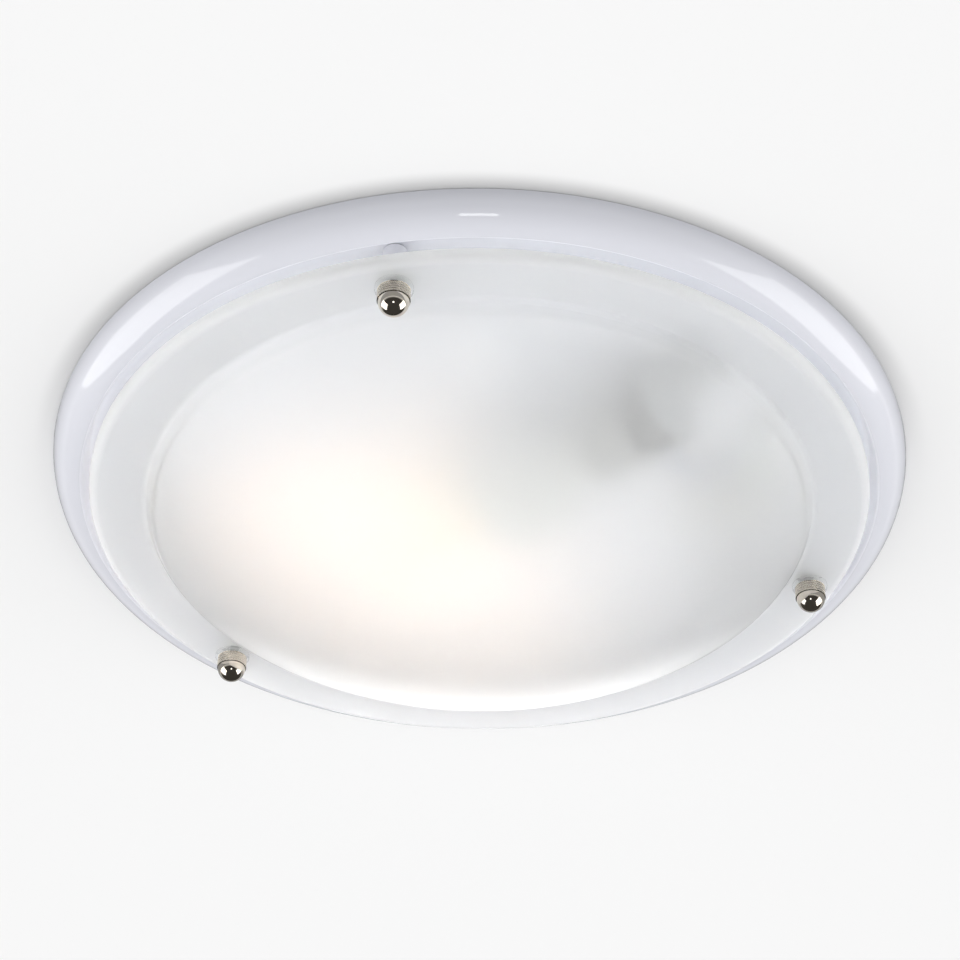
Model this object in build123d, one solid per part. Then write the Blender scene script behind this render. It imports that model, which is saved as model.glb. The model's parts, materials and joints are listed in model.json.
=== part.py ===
from build123d import *
import math
import os

# Flush ceiling light: a pressed steel pan with a rolled rim, a frosted glass dish held up by three
# finial nuts, and one compact lamp on a bracket inside.  Millimetres.  The pan's ceiling face is
# z = 0, its centre is the origin, and the light hangs towards -Z.

# ---- pan -------------------------------------------------------------------------------------
pan_diameter = 300.0  # over the rolled rim
sheet = 0.8  # steel sheet of the pan
rim_section = 11.5  # radius of the quarter-round rim
rim_width = 10.7  # in plan, from the outside to the lip
recess_lean = 2.0  # how much further in the recess wall stands at its top
lip_round = 0.9  # round of the lip, outside
pad_depth = 2.4  # pressed pads stand this far out of the back plate, towards the room
pad_slope = 30.0  # degrees, lean of a pad's sides
pad_margin = 3.0  # level face of a pad past what sits on it
ceiling_pitch = 140.0  # between the two slots for the ceiling screws
slot_width = 4.8
slot_length = 14.0

# ---- glass dish ------------------------------------------------------------------------------
glass_gap = 2.8  # all round, between the glass and the pan's lip
glass_wall = 4.0
flange_drop = 16.6  # underside of the flange, below the ceiling
flange_width = 19.5  # from the glass's edge to where it turns down into the step
step_height = 4.0  # flange underside to the foot of the dome
step_lean = 32.0  # degrees from upright
dome_depth = 60.0  # lowest point of the dome, below the ceiling
edge_round = 3.4  # pencil-ground lower edge
step_round = 2.5  # inside round under the flange
shoulder_round = 5.0  # outside round at the top of the dome
hollow_round = 1.0  # inside, where the step meets the dome

# ---- studs and finials -----------------------------------------------------------------------
stud_count = 3
stud_inset = 11.5  # stud's axis, in from the glass's edge
first_stud_azimuth = -102.8  # degrees from +X
stud_diameter = 4.0
stud_flange_diameter = 7.0
stud_flange = 0.9
stud_point = 0.4  # chamfer at the stud's end
spacer_diameter = 8.0
spacer_chamfer = 0.3
cushion_diameter = 12.0
cushion_thickness = 1.2
washer_diameter = 12.6
washer_thickness = 1.5
washer_round = 0.3
finial_diameter = 10.8
skirt_height = 4.8
finial_dome_diameter = 9.6
finial_wall = 2.6  # metal left past the end of the blind thread, to the tip of the dome
knurl_count = 40
knurl_depth = 0.3
thread_left = 0.5  # space past the stud's end inside the finial
glass_hole_clearance = 1.5  # all round the stud
fit = 0.05  # running clearance, on the radius
seat = 0.05  # space between faces that only rest on each other
bore_clearance = 0.2  # all round a stud, in a spacer or washer

# ---- lamp axis and bracket -------------------------------------------------------------------
holder_azimuth = -46.8  # degrees from +X, of the lampholder's back face
holder_inset = 27.9  # centre of that face, in from the glass's step
holder_drop = 18.0  # and below the ceiling
lamp_heading = 142.3  # degrees from +X, the way the lamp points
lamp_dip = 4.0  # degrees below level
bracket_sheet = 1.2
bracket_width = 27.0
foot_length = 18.0
bend_inside = 1.0
upright_reach = 12.0  # from the lamp's axis down to the upright's end
upright_round = 11.0  # lower corners, to clear the glass

# ---- lampholder ------------------------------------------------------------------------------
holder_diameter = 27.0
base_length = 12.0
base_floor = 5.0
base_chamfer = 0.8
cavity_diameter = 18.0
holder_length = 31.0
socket_clearance = 0.3
throat_depth = 5.0  # wide part of the shell's bore, over the side contact
flute_count = 16
flute_radius = 1.1
front_collar = 3.0
collar_edge = 1.2  # round at the holder's front
plain_band = 2.0  # between the joint of the two halves and the flutes
contact_strip = 0.5
contact_width = 4.0
contact_inset = 2.0  # the tongue's root, in from the cavity's wall
contact_flat = 2.0  # level end of the tongue past the axis
side_tip = 0.6  # the side contact's tip turns out by this much
side_bend = 1.5  # length of that turned tip
holder_screw_pitch = 21.0

# ---- compact lamp ----------------------------------------------------------------------------
cap_diameter = 13.5
cap_sheet = 0.45
tip_station = 9.0  # lamp's centre contact, along the axis from the holder's back face
tip_diameter = 4.8
tip_height = 1.2
insulator_height = 2.4
insulator_rim = 0.5  # past the contact, at the insulator's small end
cap_length = 20.4
neck_diameter = 17.0
housing_diameter = 40.0
flare_length = 19.0
barrel_length = 14.0
housing_wall = 1.4
board_thickness = 1.6
board_clearance = 0.2
ledge = 1.2
coil_length = 10.0  # the board's coil, a block
coil_width = 9.0
coil_height = 7.0
big_can = 6.0  # diameters and places of the board's two round parts
small_can = 5.0
can_x = 9.0
can_y = 4.0
collar_height = 3.5
collar_spigot = 3.0
collar_round = 2.0
tube_count = 3
tube_diameter = 9.0
tube_wall = 0.9
leg_circle = 22.0
tube_reach = 50.5  # from the collar's face to the end of the bends

# ---- screws ----------------------------------------------------------------------------------
screw_diameter = 3.0
screw_head_diameter = 5.6
screw_head = 2.0
screw_slot = 0.8
screw_hole_clearance = 0.2
screw_tail = 0.8  # length past the sheet that it is tapped into

# ---- terminal block, cable entry and earth point ---------------------------------------------
block_inset = 33.0  # the block's middle along X, in from the glass's step
block_y = -8.0
poles = ("live", "neutral", "earth")  # along +X
pole_pitch = 10.0
block_depth = 17.0
block_slab = 4.0
block_corner = 1.5
block_seat_height = 2.0  # slab left under the block's screw heads
barrel_diameter = 8.4
tower_diameter = 6.4
tower_height = 12.6
wire_height = 5.4  # wire axis over the block's base
insert_diameter = 5.0
insert_bore = 3.0
insert_inset = 1.0  # the insert ends this far inside the barrel
clamp_inset = 4.25  # clamp screw's axis, in from the block's side
clamp_sunk = 1.5  # clamp screw's end, below its tower's mouth
clamp_screw_diameter = 2.6
entry_inset = 33.0
entry_y = 30.0
entry_bore = 8.0
grommet_groove = 14.0
grommet_diameter = 18.0
grommet_flange = 1.8
grommet_round = 0.7
earth_inset = 19.0
earth_y = -48.0
earth_screw_diameter = 4.0
earth_head_diameter = 8.0
earth_head = 2.6
tag_diameter = 9.6
tag_sheet = 0.8
tag_turn = 110.0  # degrees, the way the tag's barrel points in plan
tag_gap = 2.0  # between the tag's eye and its barrel
tag_lap = 1.0  # the neck's length under the barrel
tag_barrel_length = 6.0
tag_barrel_wall = 0.6
earth_washer = 0.6
tooth_count = 12
tooth_notch = 1.2
lead_diameter = 2.2
lead_in_block = 5.0
lead_hole_clearance = 0.2
lead_fan = 22.0  # degrees, each lead's way into the holder above or below level
live_out = 9.0  # straight ends of the leads, out of the block and of what they run to
neutral_out = 10.0
earth_out = 4.0
lead_in_cavity = 1.5  # lead's end, inside the holder's cavity wall
lead_in_tag = 1.0

# ---- places worked out from the sizes above ---------------------------------------------------
pan_radius = pan_diameter / 2
plate_face = -sheet  # room side of the back plate
pad_face = -(sheet + pad_depth)  # room side of a pressed pad
recess_diameter = pan_diameter - 2 * rim_width
glass_diameter = recess_diameter - 2 * glass_gap
glass_radius = glass_diameter / 2
step_radius = glass_radius - flange_width
stud_circle = glass_diameter - 2 * stud_inset
flange_low = -flange_drop
flange_top = flange_low + glass_wall
washer_top = flange_low - seat
washer_low = washer_top - washer_thickness
finial_top = washer_low - seat
finial_dome_radius = finial_dome_diameter / 2
finial_tip = finial_top - skirt_height - finial_dome_radius
bore_end = finial_tip + finial_wall
stud_end = bore_end + thread_left
cushion_low = flange_top + seat
cushion_top = cushion_low + cushion_thickness
stud_foot = plate_face - stud_flange
tip_end = tip_station + tip_height
cap_start = tip_end + insulator_height
cap_end = cap_start + cap_length
barrel_start = cap_end + flare_length
housing_end = barrel_start + barrel_length
collar_face = housing_end + collar_height
board_low = (barrel_start + housing_end) / 2 - board_thickness
spigot_start = cap_end - cap_length / 2
holder_reach = step_radius - holder_inset
holder_x = holder_reach * math.cos(math.radians(holder_azimuth))
holder_y = holder_reach * math.sin(math.radians(holder_azimuth))
block_x = step_radius - block_inset
entry_x = step_radius - entry_inset
earth_x = step_radius - earth_inset
heading = (math.cos(math.radians(lamp_heading)), math.sin(math.radians(lamp_heading)))
dip = math.radians(lamp_dip)
lamp_axis = (math.cos(dip) * heading[0], math.cos(dip) * heading[1], -math.sin(dip))
lamp_frame = Plane(
    origin=(holder_x, holder_y, -holder_drop),
    x_dir=(-heading[1], heading[0], 0),
    z_dir=lamp_axis,
)
stud_azimuths = [first_stud_azimuth + 360 * i / stud_count for i in range(stud_count)]


def stud_place(azimuth):
    """Location on the stud circle, upright, at the ceiling face."""
    angle = math.radians(azimuth)
    return Location((stud_circle / 2 * math.cos(angle), stud_circle / 2 * math.sin(angle), 0))


def rod(diameter, low, high):
    """Upright cylinder between two heights."""
    return Pos(0, 0, (low + high) / 2) * Cylinder(diameter / 2, abs(high - low))


def ring(outer, inner, low, high):
    """Upright tube between two heights."""
    return rod(outer, low, high) - rod(inner, low, high)


def turned(points):
    """Solid of revolution about Z from a closed outline of (radius, height) points."""
    outline = Plane.XZ * make_face(Polyline(*points, close=True))
    return revolve(outline, Axis.Z)


# ---- pan -------------------------------------------------------------------------------------
def rim_arc(radius, inner_radius):
    """End point and middle point of a rim arc that stops over inner_radius."""
    centre = pan_radius - rim_section
    reach = inner_radius - centre
    end = (inner_radius, -math.sqrt(radius**2 - reach**2))
    half = math.atan2(end[1], reach) / 2
    middle = (centre + radius * math.cos(half), radius * math.sin(half))
    return middle, end


def pan_blank():
    """Pressed dish: flat plate, recess wall and quarter-round rim, hollow at the back."""
    lip = recess_diameter / 2
    middle, end = rim_arc(rim_section, lip)
    skin = ThreePointArc((pan_radius, 0), middle, end)
    rest = Polyline(end, (lip - recess_lean, plate_face), (0, plate_face), (0, 0), (pan_radius, 0))
    face = make_face([skin, rest])
    face = fillet(face.vertices().sort_by_distance((*end, 0))[0], lip_round)
    corner = (lip - recess_lean, plate_face, 0)
    face = fillet(face.vertices().sort_by_distance(corner)[0], 2 * sheet)
    middle, end = rim_arc(rim_section - sheet, lip + sheet)
    channel_skin = ThreePointArc((pan_radius - sheet, 0), middle, end)
    top = (lip - recess_lean + sheet, 0)
    channel = make_face([channel_skin, Polyline(end, top, (pan_radius - sheet, 0))])
    return revolve(Plane.XZ * face, Axis.Z) - revolve(Plane.XZ * channel, Axis.Z)


def pressed_pad(place, length, width):
    """Pad pressed out of the plate: the solid to add and the hollow to cut at the back."""
    outline = SlotOverall(length, width) if length > width else Circle(width / 2)
    flare = 2 * pad_depth * math.tan(math.radians(pad_slope))
    foot = SlotOverall(length + flare, width + flare) if length > width else Circle((width + flare) / 2)
    inner = offset(outline, -sheet)
    inner_foot = offset(foot, -sheet)
    solid = loft([Pos(0, 0, plate_face) * foot, Pos(0, 0, pad_face) * outline])
    hollow = loft([inner_foot, Pos(0, 0, pad_face + sheet) * inner])
    return place * solid, place * hollow


def plan(x, y, turn=0.0):
    """Location in the plate's plane."""
    return Location((x, y, 0), (0, 0, turn))


foot_centre = bracket_sheet + foot_length / 2
foot_place = plan(holder_x - foot_centre * heading[0], holder_y - foot_centre * heading[1], lamp_heading + 90)
foot_screw_pitch = bracket_width / 2
block_place = plan(block_x, block_y)
entry_place = plan(entry_x, entry_y)
earth_place = plan(earth_x, earth_y)
pads = [
    (foot_place, bracket_width, foot_length - 2 * pad_margin),
    (block_place, pole_pitch + screw_head_diameter + 2 * pad_margin, screw_head_diameter + 2 * pad_margin),
    (entry_place, 0.0, grommet_diameter + 2 * pad_margin),
    (earth_place, 0.0, tag_diameter + pad_margin),
]
tapped = [
    (foot_place * Pos(-foot_screw_pitch / 2, 0, 0), screw_diameter),
    (foot_place * Pos(foot_screw_pitch / 2, 0, 0), screw_diameter),
    (block_place * Pos(-pole_pitch / 2, 0, 0), screw_diameter),
    (block_place * Pos(pole_pitch / 2, 0, 0), screw_diameter),
    (earth_place, earth_screw_diameter),
]


def make_pan():
    """The whole pan: dish, pads, slots, cable hole and tapped holes."""
    body = pan_blank()
    for place, length, width in pads:
        solid, hollow = pressed_pad(place, length, width)
        body = body + solid - hollow
    slot = extrude(SlotOverall(slot_length, slot_width, rotation=90), amount=-2 * sheet)
    for side in (-1, 1):
        body -= Pos(0, side * ceiling_pitch / 2, sheet / 2) * slot
    body -= entry_place * rod(grommet_groove, pad_face - sheet, sheet)
    for place, diameter in tapped:
        body -= place * rod(diameter + 2 * fit, pad_face - sheet, sheet)
    return body


# ---- glass dish ------------------------------------------------------------------------------
def dome_meets_wall(centre, radius, wall_point, wall_way):
    """Point where the step's straight wall runs into the dome's circle."""
    px = wall_point[0]
    pz = wall_point[1] - centre
    half_b = px * wall_way[0] + pz * wall_way[1]
    run = -half_b + math.sqrt(half_b**2 - (px**2 + pz**2 - radius**2))
    return (wall_point[0] + run * wall_way[0], wall_point[1] + run * wall_way[1])


def make_glass():
    """Pressed dish of even wall: shallow dome, step, flat flange with a round edge, three holes."""
    lean = math.radians(step_lean)
    foot = (step_radius - step_height * math.tan(lean), flange_low - step_height)
    rise = dome_depth - flange_drop - step_height
    radius = (foot[0] ** 2 + rise**2) / (2 * rise)
    centre = radius - dome_depth
    way = (-math.sin(lean), -math.cos(lean))
    wall_shift = glass_wall * math.cos(lean), -glass_wall * math.sin(lean)
    inner_wall = (step_radius - wall_shift[0], flange_low - wall_shift[1])
    up = (flange_top - inner_wall[1]) / way[1]
    inner_top = (inner_wall[0] + up * way[0], flange_top)
    inner_radius = radius - glass_wall
    inner_foot = dome_meets_wall(centre, inner_radius, inner_wall, way)
    outer_half = math.asin(foot[0] / radius) / 2
    inner_half = math.asin(inner_foot[0] / inner_radius) / 2
    outer_mid = (radius * math.sin(outer_half), centre - radius * math.cos(outer_half))
    inner_mid = (inner_radius * math.sin(inner_half), centre - inner_radius * math.cos(inner_half))
    flange = Polyline(
        foot,
        (step_radius, flange_low),
        (glass_radius, flange_low),
        (glass_radius, flange_top),
        inner_top,
        inner_foot,
    )
    outer_dome = ThreePointArc((0, -dome_depth), outer_mid, foot)
    inner_dome = ThreePointArc(inner_foot, inner_mid, (0, glass_wall - dome_depth))
    section = make_face([outer_dome, flange, inner_dome, Line((0, glass_wall - dome_depth), (0, -dome_depth))])
    rounds = [
        ((glass_radius, flange_low), edge_round),
        ((glass_radius, flange_top), glass_wall - edge_round),
        (foot, shoulder_round),
        ((step_radius, flange_low), step_round),
        (inner_top, step_round + glass_wall),
        (inner_foot, hollow_round),
    ]
    for point, size in rounds:
        section = fillet(section.vertices().sort_by_distance((*point, 0))[0], size)
    dish = revolve(Plane.XZ * section, Axis.Z)
    hole = rod(stud_diameter + 2 * glass_hole_clearance, flange_low - glass_wall, flange_top + glass_wall)
    for azimuth in stud_azimuths:
        dish -= stud_place(azimuth) * hole
    return dish


# ---- studs, spacers, cushions, washers and finials --------------------------------------------
def make_stud():
    """Threaded stud welded by its small flange to the pan's plate."""
    thread = rod(stud_diameter, stud_end, stud_foot)
    thread = chamfer(thread.edges().group_by(Axis.Z)[0], stud_point)
    return thread + rod(stud_flange_diameter, stud_foot, plate_face)


def make_spacer():
    """Plain tube that sets the height of the glass."""
    tube = ring(spacer_diameter, stud_diameter + 2 * bore_clearance, cushion_top, stud_foot)
    return chamfer(tube.edges().group_by(Axis.Z)[0], spacer_chamfer)


def make_cushion():
    """Soft washer between the spacer and the glass."""
    return ring(cushion_diameter, stud_diameter + 2 * bore_clearance, cushion_low, cushion_top)


def make_washer():
    """Clear washer between the glass and the finial."""
    disc = ring(washer_diameter, stud_diameter + 2 * bore_clearance, washer_low, washer_top)
    return fillet(disc.edges().filter_by(GeomType.CIRCLE).sort_by(SortBy.RADIUS)[-2:], washer_round)


def make_finial():
    """Knurled nut with a polished domed end and a blind threaded hole."""
    skirt_low = finial_top - skirt_height
    relief = (finial_diameter - finial_dome_diameter) / 4
    skirt = rod(finial_diameter, skirt_low, finial_top)
    skirt = chamfer(skirt.edges().filter_by(GeomType.CIRCLE), relief)
    cutter = extrude(Pos(0, 0, skirt_low) * RegularPolygon(knurl_depth * 1.2, 4), amount=skirt_height)
    for i in range(knurl_count):
        skirt -= Rot(0, 0, 360 * i / knurl_count) * Pos(finial_diameter / 2, 0, 0) * cutter
    ball = Pos(0, 0, skirt_low) * Sphere(finial_dome_radius)
    ball = split(ball, Plane.XY.offset(skirt_low), keep=Keep.BOTTOM)
    bore = rod(stud_diameter + 2 * fit, bore_end, finial_top)
    return skirt + ball - bore


# ---- screws ----------------------------------------------------------------------------------
def pan_head_screw(diameter, head_diameter, head, shank):
    """Slotted screw whose head sits under z = 0 and whose shank points up."""
    cap = rod(head_diameter, -head, 0)
    cap = fillet(cap.edges().group_by(Axis.Z)[0], head * 0.4)
    cap -= Pos(0, 0, -head) * Box(head_diameter, screw_slot, head)
    return cap + rod(diameter, 0, shank)


def fixing_screw(shank):
    """The light's common small screw."""
    return pan_head_screw(screw_diameter, screw_head_diameter, screw_head, shank)


# ---- bracket and lampholder --------------------------------------------------------------------
def make_bracket():
    """Bent strip: level foot on its pad, upright square to the lamp's axis, four holes."""
    side = Plane(origin=(holder_x, holder_y, 0), x_dir=(*heading, 0), z_dir=(heading[1], -heading[0], 0))
    back_shift = bracket_sheet / math.cos(dip)
    low = -holder_drop - upright_reach * math.cos(dip)
    foot_low = pad_face - bracket_sheet

    def front(z):
        return math.tan(dip) * (z + holder_drop)

    corner = (front(pad_face), pad_face)
    inside = (front(foot_low) - back_shift, foot_low)
    far = -bracket_sheet - foot_length
    outline = make_face(
        Polyline(
            corner,
            (far, pad_face),
            (far, foot_low),
            inside,
            (front(low) - back_shift, low),
            (front(low), low),
            close=True,
        )
    )
    outline = fillet(outline.vertices().sort_by_distance((*inside, 0))[0], bend_inside)
    outline = fillet(outline.vertices().sort_by_distance((*corner, 0))[0], bend_inside + bracket_sheet)
    body = extrude(side * outline, amount=bracket_width / 2, both=True)
    corners = body.edges().filter_by(Axis((0, 0, 0), (*heading, 0))).group_by(Axis.Z)[0]
    body = fillet(corners, upright_round)
    hole = rod(screw_diameter + 2 * screw_hole_clearance, -holder_drop, 0)
    for end in (-1, 1):
        body -= foot_place * Pos(end * foot_screw_pitch / 2, 0, 0) * hole
        through = Pos(end * holder_screw_pitch / 2, 0, 0)
        through *= rod(screw_diameter + 2 * screw_hole_clearance, -2 * bracket_sheet, bracket_sheet)
        body -= lamp_frame * through
    return body


def holder_screw_ways():
    """Places of the two screws, along the lamp axis, seen from the holder's back face."""
    return [Pos(end * holder_screw_pitch / 2, 0, 0) for end in (-1, 1)]


lead_station = (base_floor + base_length) / 2


def lead_way(side):
    """Local angle, in degrees, at which a lead comes into the holder: side +1 above, -1 below."""
    return 180 - side * lead_fan


def lead_point(side, distance):
    """Point in space on a lead's straight way into the holder, distance from the lamp's axis."""
    angle = math.radians(lead_way(side))
    local = (distance * math.cos(angle), distance * math.sin(angle), lead_station)
    return tuple(lamp_frame.from_local_coords(local))


def make_holder_base():
    """Back half of the lampholder: floor, contact cavity, screw holes and two lead ways."""
    body = rod(holder_diameter, 0, base_length) - rod(cavity_diameter, base_floor, base_length)
    for place in holder_screw_ways():
        body -= place * rod(screw_diameter + 2 * fit, 0, base_floor + 1)
    body = chamfer(body.edges().group_by(Axis.Z)[0].sort_by(SortBy.RADIUS)[-1:], base_chamfer)
    for side in (-1, 1):
        way = Rot(0, 0, lead_way(side)) * Pos(0, 0, lead_station) * Rot(0, 90, 0)
        body -= way * rod(lead_diameter + 2 * lead_hole_clearance, 0, holder_diameter)
    return body


def make_holder_shell():
    """Front half: fluted sleeve with a collar, and the socket's bore."""
    socket = cap_diameter + 2 * socket_clearance
    fluted_end = holder_length - front_collar
    sleeve = rod(holder_diameter, base_length, fluted_end)
    flute = rod(2 * flute_radius, base_length + plain_band, fluted_end)
    for i in range(flute_count):
        sleeve -= Rot(0, 0, 360 * (i + 0.5) / flute_count) * Pos(holder_diameter / 2, 0, 0) * flute
    collar = rod(holder_diameter, fluted_end, holder_length)
    collar = fillet(collar.edges().group_by(Axis.Z)[-1], collar_edge)
    body = sleeve + collar
    body -= rod(cavity_diameter, base_length, base_length + throat_depth)
    return body - rod(socket, base_length, holder_length)


def strip(points, width):
    """Bent strip of contact metal: a line of (x, z) points given thickness and width."""
    path = Polyline(*points)
    face = Plane.XZ * make_face(offset(path, contact_strip, side=Side.LEFT).edges())
    return extrude(face, amount=width / 2, both=True)


def make_centre_contact():
    """Spring tongue from the holder's floor to just under the lamp's tip."""
    top = tip_station - 2 * seat - contact_strip
    reach = cavity_diameter / 2 - contact_inset
    points = [(-reach, base_floor), (-reach / 2, base_floor), (0, top), (contact_flat, top)]
    return strip(points, contact_width)


def make_side_contact():
    """Tongue up the cavity's wall, bent in to just beside the lamp's cap."""
    wall = cavity_diameter / 2 - 2 * seat
    touch = cap_diameter / 2 + 2 * seat + contact_strip
    top = base_length + throat_depth - contact_strip
    points = [(wall, base_floor), (wall, base_length), (touch, top - side_bend), (touch + side_tip, top)]
    return Rot(0, 0, 90) * strip(points, contact_width / 2)


# ---- lamp --------------------------------------------------------------------------------------
def make_lamp_contact():
    """Soldered centre contact with its shank."""
    head = rod(tip_diameter, tip_station, tip_end)
    head = fillet(head.edges().group_by(Axis.Z)[0], tip_height * 0.7)
    return head + rod(tip_diameter / 3, tip_end, cap_start)


def make_insulator():
    """Black insulating cone between the centre contact and the cap."""
    cap_inside = cap_diameter / 2 - cap_sheet
    body = turned(
        [
            (0, tip_end),
            (tip_diameter / 2 + insulator_rim, tip_end),
            (cap_inside, cap_start),
            (cap_inside, cap_start + insulator_height),
            (0, cap_start + insulator_height),
        ]
    )
    return body - rod(tip_diameter / 3, tip_end, cap_start)


def make_cap():
    """Small screw cap, its thread shown by its outside size only."""
    return ring(cap_diameter, cap_diameter - 2 * cap_sheet, cap_start, cap_end)


def flare(r_low, r_high, low, high):
    """Smooth S-shaped flank between two radii, as a curve in (radius, height)."""
    bend = (high - low) * 0.45
    return Bezier((r_low, low), (r_low, low + bend), (r_high, high - bend), (r_high, high))


def make_housing():
    """Moulded housing of the lamp: spigot in the cap, flared neck, barrel, hollow inside."""
    neck = neck_diameter / 2
    wide = housing_diameter / 2
    spigot = cap_diameter / 2 - cap_sheet
    outer = make_face(
        [
            flare(neck, wide, cap_end, barrel_start),
            Polyline(
                (wide, barrel_start),
                (wide, housing_end),
                (0, housing_end),
                (0, spigot_start),
                (spigot, spigot_start),
                (spigot, cap_end),
                (neck, cap_end),
            ),
        ]
    )
    body = revolve(Plane.XZ * outer, Axis.Z)
    room = 2 * (wide - housing_wall)
    body -= rod(room, board_low, housing_end)
    body -= rod(room - 2 * ledge, barrel_start, board_low)
    cone_start = (barrel_start + cap_end) / 2
    body -= Pos(0, 0, (cone_start + barrel_start) / 2) * Cone(
        neck / 2, room / 2 - ledge, barrel_start - cone_start
    )
    return body


def leg_places():
    """Centres of the tube legs, in pairs that a bend joins."""
    step = 360 / (2 * tube_count)
    return [Rot(0, 0, step * (i + 0.5)) * Pos(leg_circle / 2, 0, 0) for i in range(2 * tube_count)]


def make_collar():
    """Cover of the housing: rounded rim, spigot inside the barrel, holes for the tube legs."""
    rim = rod(housing_diameter, housing_end, collar_face)
    rim = fillet(rim.edges().group_by(Axis.Z)[-1], collar_round)
    room = housing_diameter - 2 * housing_wall - 2 * board_clearance
    body = rim + ring(room, room - 2 * housing_wall, housing_end - collar_spigot, housing_end)
    for place in leg_places():
        body -= place * rod(tube_diameter + 2 * board_clearance, housing_end, collar_face)
    return body


def make_tube(index):
    """One bent glass tube: two legs out of the collar and a half-round bend."""
    step = 360 / (2 * tube_count)
    middle = step * (2 * index + 1)
    half_gap = leg_circle / 2 * math.sin(math.radians(step / 2))
    out = leg_circle / 2 * math.cos(math.radians(step / 2))
    bend_start = collar_face + tube_reach - tube_diameter / 2 - half_gap
    path = [
        Line((out, -half_gap, housing_end), (out, -half_gap, bend_start)),
        ThreePointArc(
            (out, -half_gap, bend_start), (out, 0, bend_start + half_gap), (out, half_gap, bend_start)
        ),
        Line((out, half_gap, bend_start), (out, half_gap, housing_end)),
    ]
    mouth = Pos(out, -half_gap, housing_end) * (
        Circle(tube_diameter / 2) - Circle(tube_diameter / 2 - tube_wall)
    )
    return Rot(0, 0, middle) * sweep(mouth, path=Wire(path))


def make_ballast_board():
    """Round board in the housing with its coil, capacitor and small parts."""
    room = housing_diameter - 2 * housing_wall - 2 * board_clearance
    top = board_low + board_thickness
    body = rod(room, board_low, top)
    body += Pos(0, 0, board_low - coil_height / 2) * Box(coil_length, coil_width, coil_height)
    body += Pos(can_x, can_y, 0) * rod(big_can, board_low - big_can, board_low)
    body += Pos(-can_x, -can_y, 0) * rod(small_can, board_low - small_can, board_low)
    return body


# ---- terminal block, grommet and earth point ---------------------------------------------------
pole_offsets = {name: pole_pitch * (i - (len(poles) - 1) / 2) for i, name in enumerate(poles)}
wire_z = pad_face - wire_height
block_low = pad_face - tower_height
block_seat = pad_face - block_seat_height
earth_seat = pad_face - earth_washer
tag_low = earth_seat - tag_sheet
tag_barrel_diameter = lead_diameter + 2 * tag_barrel_wall
tag_barrel_start = tag_diameter / 2 + tag_gap
tag_barrel_z = earth_seat - tag_barrel_diameter / 2


def clamp_places():
    """Where the clamp screws stand: two to a pole, one near each end."""
    ends = (-1, 1)
    reach = block_depth / 2 - clamp_inset
    return [block_place * Pos(x, end * reach, 0) for x in pole_offsets.values() for end in ends]


def make_block():
    """Moulded block: slab, a barrel and two screw towers for each pole, bores through both."""
    slab = Box(len(poles) * pole_pitch, block_depth, block_slab)
    body = block_place * Pos(0, 0, pad_face - block_slab / 2) * slab
    body = fillet(body.edges().filter_by(Axis.Z), block_corner)
    along = Rot(90, 0, 0)
    barrel = along * rod(barrel_diameter, -block_depth / 2, block_depth / 2)
    bore = along * rod(insert_diameter, -block_depth, block_depth)
    for x in pole_offsets.values():
        body += block_place * Pos(x, 0, wire_z) * barrel
    for place in clamp_places():
        body += place * rod(tower_diameter, block_low, wire_z)
    for x in pole_offsets.values():
        body -= block_place * Pos(x, 0, wire_z) * bore
    for place in clamp_places():
        body -= place * rod(clamp_screw_diameter + 2 * bore_clearance, block_low, wire_z)
    for end in (-1, 1):
        hole = rod(screw_diameter + 2 * screw_hole_clearance, pad_face - tower_height, pad_face)
        head = rod(screw_head_diameter + 2 * screw_hole_clearance, pad_face - tower_height, block_seat)
        body -= block_place * Pos(end * pole_pitch / 2, 0, 0) * hole
        body -= block_place * Pos(end * pole_pitch / 2, 0, 0) * head
    return body


def make_inserts():
    """Brass tubes in the poles, tapped for the clamp screws."""
    along = Rot(90, 0, 0)
    inside = block_depth / 2 - insert_inset
    tube = along * ring(insert_diameter - 2 * fit, insert_bore, -inside, inside)
    tubes = []
    for x in pole_offsets.values():
        tubes.append(block_place * Pos(x, 0, wire_z) * tube)
    cutters = [place * rod(clamp_screw_diameter + 2 * fit, block_low, wire_z) for place in clamp_places()]
    solids = []
    for tube in tubes:
        for cutter in cutters:
            tube = tube - cutter
        solids.append(tube)
    return solids


def make_clamp_screws():
    """Headless clamp screws, just clear of the wires they hold."""
    top = wire_z - lead_diameter / 2 - seat
    low = block_low + clamp_sunk
    screw = rod(clamp_screw_diameter, low, top)
    screw -= Pos(0, 0, low) * Box(clamp_screw_diameter, screw_slot / 2, screw_slot * 2)
    return [place * screw for place in clamp_places()]


def make_grommet():
    """Rubber ring in the cable hole: two flanges, a groove for the sheet and the cable's bore."""
    hollow_top = pad_face + sheet
    body = ring(grommet_diameter, entry_bore, pad_face - grommet_flange, hollow_top + grommet_flange)
    body -= ring(2 * grommet_diameter, grommet_groove - 2 * fit, pad_face, hollow_top)
    rims = [e for e in body.edges().filter_by(GeomType.CIRCLE) if e.radius > grommet_groove / 2]
    low = pad_face - grommet_flange
    body = fillet([e for e in rims if abs(e.center().Z - low) < fit], grommet_round)
    return entry_place * body


def make_earth_washer():
    """Toothed washer between the tag and the pan."""
    body = ring(tag_diameter, earth_screw_diameter + 2 * bore_clearance, earth_seat, pad_face)
    notch = Pos(tag_diameter / 2, 0, 0) * rod(tooth_notch, earth_seat, pad_face)
    for i in range(tooth_count):
        body -= Rot(0, 0, 360 * i / tooth_count) * notch
    return earth_place * body


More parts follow.
